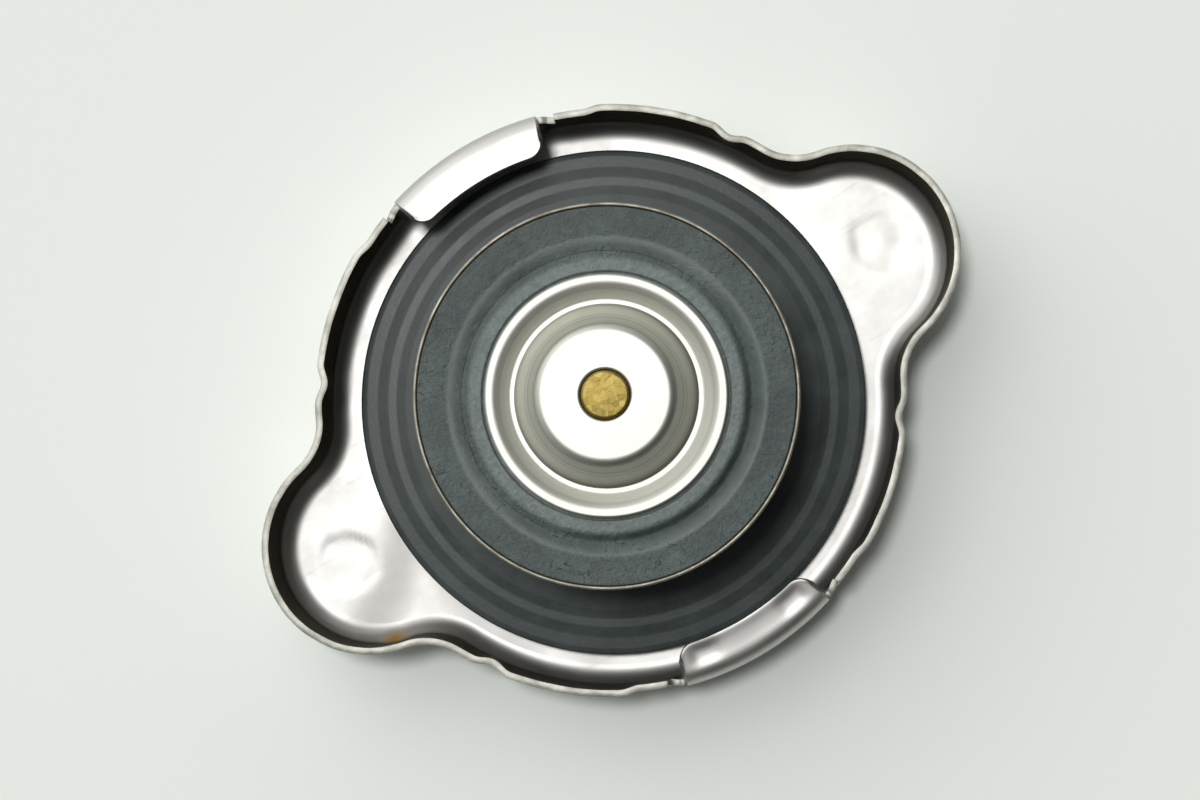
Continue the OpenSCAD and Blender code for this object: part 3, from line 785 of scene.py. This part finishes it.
# Nickel on brass, rubbed thin in patches: warm beige-grey metal with a satin haze.
warm_nickel, tree, place = new_material("nickel_plated_brass")
haze = add(tree, "ShaderNodeTexNoise", {"Vector": place, "Scale": grain(1.4), "Detail": 4, "Roughness": 0.65})
bare = add(tree, "ShaderNodeMapRange", {"Value": haze.outputs[0], "From Min": 0.4, "From Max": 0.7})
colour = add(tree, "ShaderNodeMix", {0: bare.outputs[0], 6: linear("8F8C80"), 7: linear("736C5C")},
             data_type="RGBA")
worn = add(tree, "ShaderNodeMapRange", {"Value": haze.outputs[0], "From Min": 0.3, "From Max": 0.7,
                                        "To Min": 0.42, "To Max": 0.55})
nickel = add(tree, "ShaderNodeBsdfPrincipled", {
    "Base Color": colour.outputs[2], "Metallic": 1, "Roughness": worn.outputs[0]})
add(tree, "ShaderNodeOutputMaterial", {"Surface": nickel.outputs[0]})
fit(carrier, [warm_nickel], "seal_carrier", "pressure_valve")

# Lower seal
# A thick ring of black rubber held in the carrier. The filler neck's seat has worn a groove into its face,
# deeper on one side, and inside the groove a round bead meets the vacuum plate.
seal_low, seal_high = span("pressure_seal")
seal_out = seal_high.x
seal_top = seal_high.z
seal_chamfer_w = 0.25
seal_chamfer_h = 0.4
mark_r = 10.95
mark_depth = 0.5
mark_out_r = mark_r + 0.3
mark_floor_r = mark_r - 0.4
mark_floor_w = 0.15
bead_z = seal_top - 0.02
bead_out_r = mark_r - 1.05
plate_r = 8.8
bead_in_r = plate_r + 0.24
seat_z = seal_top - 0.3
seat_out_r = plate_r + 0.12
seat_in_r = plate_r - 0.55
throat_z = seat_z - 0.75
seal = turned("pressure_seal_rubber", rounded(
    [(neck_r, seal_low.z), (seal_out - seal_chamfer_w, seal_low.z), (seal_out, seal_low.z + seal_chamfer_h),
     (seal_out, seal_top), (mark_out_r, seal_top), (mark_floor_r, seal_top - mark_depth),
     (mark_floor_r - mark_floor_w, seal_top - mark_depth), (bead_out_r, bead_z), (bead_in_r, bead_z),
     (seat_out_r, seat_z), (seat_in_r, seat_z), (neck_r, throat_z), (neck_r, seal_low.z + seam)],
    [0.15, 0.15, 0.12, 1.6, 0.2, 0.15, 0.7, 0.12, 0.05, 0.1, 0.1], steps=8), steps=256)

worn_side = Vector((0.24, -0.97))
worn_fade = (-0.2, 0.9)
worn_in_r = mark_r - 1.4
worn_out_r = mark_r + 1.2
least_worn = 0.3
for v in seal.data.vertices:
    r = Vector(v.co.xy).length / MM
    z = v.co.z / MM
    if worn_in_r < r < worn_out_r and seal_top - mark_depth - slack < z < bead_z:
        toward = Vector(v.co.xy).normalized().dot(worn_side)
        share = least_worn + (1 - least_worn) * smooth(*worn_fade, toward)
        v.co.z = (bead_z - (bead_z - z) * share) * MM

# Rubber much like the gasket's, but older: slate grey, cracked and specked on the land, paler in patches on
# the bead next to the plate, and polished where the seat has pressed the groove's lip.
lip_r = mark_r + 0.2
lip_half = 0.3
lip_end = 0.6
pale_bead_r = mark_r - 1.3
pale_bead_end_r = mark_r - 0.75
seal_rubber, tree, place = new_material("aged_nitrile_rubber")
bloom = add(tree, "ShaderNodeTexNoise", {"Vector": place, "Scale": grain(5), "Detail": 7, "Roughness": 0.7})
dust = add(tree, "ShaderNodeMapRange", {"Value": bloom.outputs[0], "From Min": 0.35, "From Max": 0.7})
skin = add(tree, "ShaderNodeTexNoise", {"Vector": place, "Scale": grain(0.4), "Detail": 5, "Roughness": 0.7})
aged = add(tree, "ShaderNodeMix", {0: dust.outputs[0], 6: linear("3D4745"), 7: linear("5D6966")},
           data_type="RGBA")
flat = add(tree, "ShaderNodeVectorMath", {0: place, 1: (1, 1, 0)}, operation="MULTIPLY")
radius = add(tree, "ShaderNodeVectorMath", {0: flat.outputs[0]}, operation="LENGTH")
bead = add(tree, "ShaderNodeMapRange", {"Value": radius.outputs["Value"], "From Min": pale_bead_end_r * MM,
                                        "From Max": pale_bead_r * MM}, interpolation_type="SMOOTHSTEP")
vein = add(tree, "ShaderNodeTexNoise", {"Vector": place, "Scale": grain(0.9), "Detail": 4, "Distortion": 0.8})
from_vein = add(tree, "ShaderNodeMath", {0: vein.outputs[0], 1: 0.5, 2: 0.012}, operation="COMPARE")
split = add(tree, "ShaderNodeMapRange", {"Value": bloom.outputs[0], "From Min": 0.45, "From Max": 0.6})
cracks = add(tree, "ShaderNodeMath", {0: from_vein.outputs[0], 1: split.outputs[0]}, operation="MULTIPLY")
cracked = add(tree, "ShaderNodeMix", {0: cracks.outputs[0], 6: aged.outputs[2], 7: linear("262D2C")},
              data_type="RGBA")
speck = add(tree, "ShaderNodeMapRange", {"Value": skin.outputs[0], "From Min": 0.69, "From Max": 0.74})
specked = add(tree, "ShaderNodeMix", {0: speck.outputs[0], 6: cracked.outputs[2], 7: linear("9BA5A2")},
              data_type="RGBA")
# Paler patches on the bead next to the vacuum plate
pale_bead = add(tree, "ShaderNodeMath", {0: bead.outputs[0], 1: skin.outputs[0]}, operation="MULTIPLY")
colour = add(tree, "ShaderNodeMix", {0: pale_bead.outputs[0], 6: specked.outputs[2], 7: linear("939E9B")},
             data_type="RGBA")
dull = add(tree, "ShaderNodeMapRange", {"Value": bloom.outputs[0], "From Min": 0.3, "From Max": 0.7,
                                        "To Min": 0.36, "To Max": 0.5})
lip_at = add(tree, "ShaderNodeMath", {0: radius.outputs["Value"], 1: lip_r * MM}, operation="SUBTRACT")
lip_far = add(tree, "ShaderNodeMath", {0: lip_at.outputs[0]}, operation="ABSOLUTE")
rough_skin = add(tree, "ShaderNodeMapRange", {"Value": lip_far.outputs[0], "From Min": lip_half * MM,
                                              "From Max": lip_end * MM, "To Min": 0.15, "To Max": 1})
crease = add(tree, "ShaderNodeTexNoise", {"Vector": place, "Scale": grain(0.9), "Detail": 6,
                                          "Roughness": 0.75, "Distortion": 0.6})
worn = add(tree, "ShaderNodeBump", {"Height": crease.outputs[0], "Strength": rough_skin.outputs[0],
                                    "Distance": 0.13 * MM})
pores = add(tree, "ShaderNodeBump", {"Height": skin.outputs[0], "Strength": rough_skin.outputs[0],
                                     "Distance": 0.12 * MM, "Normal": worn.outputs[0]})
mix = add(tree, "ShaderNodeBsdfPrincipled", {
    "Base Color": colour.outputs[2], "Roughness": dull.outputs[0], "Normal": pores.outputs[0],
    "Specular IOR Level": 0.55})
add(tree, "ShaderNodeOutputMaterial", {"Surface": mix.outputs[0]})
fit(seal, [seal_rubber], "pressure_seal", "pressure_valve")

# Vacuum plate
# A disc drawn from stainless sheet: a flat rim that rests on the lower seal, a groove, and a dome over the
# stem's end. Its walls keep the fine rings of the drawing tool.
plate_low, plate_high = span("vacuum_plate")
plate_t = 0.5
plate_half = plate_t / 2
plate_z = seat_z + plate_half
groove_z = plate_low.z + plate_half
dome_z = plate_high.z - plate_half
flange_in_r = plate_r - 0.6
groove_r = plate_r - 1.75
dome_foot_r = 6.5
dome_top_r = 4.8
stem_end_r = 1.75
stem_bore_r = stem_end_r + 0.05
plate = turned("vacuum_plate_dome", walled(
    [(plate_r, plate_z), (flange_in_r, plate_z), (groove_r, groove_z), (dome_foot_r, groove_z),
     (dome_top_r, dome_z), (stem_bore_r, dome_z)], [0.7, 0.7, 0.3, 0.5], plate_t), steps=256)
fit(plate, [stainless], "vacuum_plate", "vacuum_valve")

# Vacuum stem
# A turned brass pin through the dome and the guide disc.
# Its outer end was hammered over on the dome, and a head on its inner end holds the retainer.
stem_low, stem_high = span("vacuum_stem")
stem_r = 1.3
stem_head_r = stem_r + 0.6
stem_head_z = stem_low.z + 0.6
stem_shoulder_r = stem_end_r + 0.7
under_dome = dome_z - plate_half
stem_shoulder_z = under_dome - 1.4
stem_end_z = dome_z + plate_half + 0.1
stem = turned("vacuum_stem_pin", rounded(
    [(0, stem_low.z), (stem_head_r, stem_low.z), (stem_head_r, stem_head_z), (stem_r, stem_head_z),
     (stem_r, stem_shoulder_z), (stem_shoulder_r, stem_shoulder_z), (stem_shoulder_r, under_dome),
     (stem_end_r, under_dome), (stem_end_r, stem_end_z), (0, stem_high.z)],
    [0.2, 0.1, 0.05, 0.1, 0.1, 0.1, 0.05, 0.2], steps=4), steps=96)

# Cartridge brass, hammered: dull yellow metal beaten into small flat facets, brown in the scratches.
brass, tree, place = new_material("hammered_brass")
facets = add(tree, "ShaderNodeTexVoronoi", {"Vector": place, "Scale": grain(0.45), "Randomness": 1})
leaning = add(tree, "ShaderNodeVectorMath", {0: facets.outputs["Color"], 1: (0.5, 0.5, 0.5)},
              operation="SUBTRACT")
level = add(tree, "ShaderNodeVectorMath", {0: leaning.outputs[0], 1: place}, operation="DOT_PRODUCT")
shade = add(tree, "ShaderNodeSeparateXYZ", {0: facets.outputs["Color"]})
beaten = add(tree, "ShaderNodeMix", {0: shade.outputs["X"], 6: linear("84723A"), 7: linear("9A884E")},
             data_type="RGBA")
along = add(tree, "ShaderNodeMapping", {"Vector": place, "Rotation": (0, 0, 0.9), "Scale": (0.12, 1, 1)})
scratch = add(tree, "ShaderNodeTexNoise", {"Vector": along.outputs[0], "Scale": grain(0.12), "Detail": 4,
                                           "Roughness": 0.7})
nick = add(tree, "ShaderNodeMapRange", {"Value": scratch.outputs[0], "From Min": 0.56, "From Max": 0.74})
colour = add(tree, "ShaderNodeMix", {0: nick.outputs[0], 6: beaten.outputs[2], 7: linear("5E4A24")},
             data_type="RGBA")
blows = add(tree, "ShaderNodeBump", {"Height": level.outputs["Value"], "Strength": 1, "Distance": 0.09})
scuffs = add(tree, "ShaderNodeBump", {"Height": scratch.outputs[0], "Strength": 0.4, "Distance": 0.02 * MM,
                                      "Normal": blows.outputs[0]})
metal = add(tree, "ShaderNodeBsdfPrincipled", {
    "Base Color": colour.outputs[2], "Metallic": 1, "Roughness": 0.48, "Normal": scuffs.outputs[0]})
add(tree, "ShaderNodeOutputMaterial", {"Surface": metal.outputs[0]})
fit(stem, [brass], "vacuum_stem", "vacuum_valve")

# Vacuum spring
# A small coil of spring wire round the stem, between the guide disc and the retainer. It keeps the vacuum
# plate on the seal.
vacuum_low, vacuum_high = span("vacuum_spring")
vacuum_wire = 0.4
vacuum_turns = 5
vacuum_len = vacuum_high.z - vacuum_low.z
vacuum_spring = wound_spring("vacuum_spring_coil", wire_steel, **{
    "Wire": vacuum_wire * MM, "Mean Radius": (vacuum_high.x - vacuum_wire / 2) * MM,
    "Foot": vacuum_low.z * MM, "Length": vacuum_len * MM, "Turns": vacuum_turns, "Close Turns": close_turns,
    "Points": 240, "Sides": 10})
fit(vacuum_spring, [wire_steel], "vacuum_spring", "pressure_valve")
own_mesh(vacuum_spring)

# Spring retainer
# A washer stamped from brass sheet with a turned-up edge, held by the head of the stem.
# It carries the vacuum spring.
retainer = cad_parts["spring_retainer"]
retainer.data.materials.clear()
retainer.data.materials.append(brass)

# Floor, light and camera
# The cap lies on its top on a plain pale table. A small lamp hangs nearly overhead, and the room glows on the
# lamp's side. The camera looks almost straight down.
floor_size = 4
floor_mesh = bpy.data.meshes.new("floor")
edge = floor_size / 2
floor_corners = [(-edge, -edge, 0), (edge, -edge, 0), (edge, edge, 0), (-edge, edge, 0)]
floor_mesh.from_pydata(floor_corners, [], [(0, 1, 2, 3)])
floor = bpy.data.objects.new("floor", floor_mesh)
bpy.context.scene.collection.objects.link(floor)

# White table paint with a faint green cast: flat, almost without gloss, so that the soft shadow shows.
table, tree, _ = new_material("pale_table_paint")
paint = add(tree, "ShaderNodeBsdfPrincipled", {"Base Color": linear("F4F8F2"), "Roughness": 0.6,
                                               "Specular IOR Level": 0.2})
add(tree, "ShaderNodeOutputMaterial", {"Surface": paint.outputs[0]})
floor_mesh.materials.append(table)

light_from = Vector((-0.237, 0.971))
world = bpy.data.worlds.new("soft_studio")
bpy.context.scene.world = world
world.use_nodes = True
tree = world.node_tree
tree.nodes.clear()
sky = add(tree, "ShaderNodeTexCoord").outputs["Generated"]
glow_tilt = math.radians(36)
glow_edge = math.radians(38)
glow_core = math.radians(14)
glow_at = Vector((*(light_from * math.sin(glow_tilt)), math.cos(glow_tilt)))
to_glow = add(tree, "ShaderNodeVectorMath", {0: sky, 1: glow_at}, operation="DOT_PRODUCT")
glow = add(tree, "ShaderNodeMapRange", {
    "Value": to_glow.outputs["Value"], "From Min": math.cos(glow_edge), "From Max": math.cos(glow_core),
    "To Min": 0.025, "To Max": 1.6}, interpolation_type="SMOOTHSTEP")
level = add(tree, "ShaderNodeSeparateXYZ", {0: sky})
walls = add(tree, "ShaderNodeMapRange", {"Value": level.outputs["Z"], "From Min": 0.75, "From Max": 0.35,
                                         "To Max": 1}, interpolation_type="SMOOTHSTEP")
to_side = add(tree, "ShaderNodeVectorMath", {0: sky, 1: (*light_from, 0)}, operation="DOT_PRODUCT")
side = add(tree, "ShaderNodeMapRange", {"Value": to_side.outputs["Value"], "From Min": -0.7, "From Max": 0.9,
                                        "To Min": 0.03, "To Max": 1.15}, interpolation_type="SMOOTHSTEP")
light = add(tree, "ShaderNodeMath", {0: walls.outputs[0], 1: side.outputs[0], 2: glow.outputs[0]},
            operation="MULTIPLY_ADD")
soft = add(tree, "ShaderNodeBackground", {"Color": (1, 1, 1, 1), "Strength": light.outputs[0]})
add(tree, "ShaderNodeOutputWorld", {"Surface": soft.outputs[0]})

softbox_data = bpy.data.lights.new("softbox", "AREA")
softbox_data.shape = "DISK"
softbox_data.size = 0.18
softbox_data.energy = 5.4
softbox = bpy.data.objects.new("softbox", softbox_data)
bpy.context.scene.collection.objects.link(softbox)
softbox_tilt = math.radians(8.2)
softbox_away = 1.2
softbox_at = Vector((*(light_from * math.sin(softbox_tilt)), math.cos(softbox_tilt)))
softbox.location = softbox_at * softbox_away
softbox.rotation_euler = softbox.location.to_track_quat("Z", "Y").to_euler()

camera_data = bpy.data.cameras.new("camera")
camera_data.sensor_width = 36
camera_data.lens = 100.5
camera = bpy.data.objects.new("camera", camera_data)
bpy.context.scene.collection.objects.link(camera)
camera_tilt = math.radians(2.6)
camera_away = 0.2504
camera_side = Vector((0.331, -0.943))
picture_up = Vector((0.5195, 0.8545, 0))
aim = Vector((-0.688, 0.386, skirt_h)) * MM
back = Vector((*(camera_side * math.sin(camera_tilt)), math.cos(camera_tilt)))
up = (picture_up - back * picture_up.dot(back)).normalized()
turn = Matrix((up.cross(back), up, back)).transposed()
camera.matrix_world = Matrix.Translation(aim + back * camera_away) @ turn.to_4x4()
camera_data.clip_start = 0.01
bpy.context.scene.camera = camera
bpy.context.scene.view_settings.view_transform = "Standard"
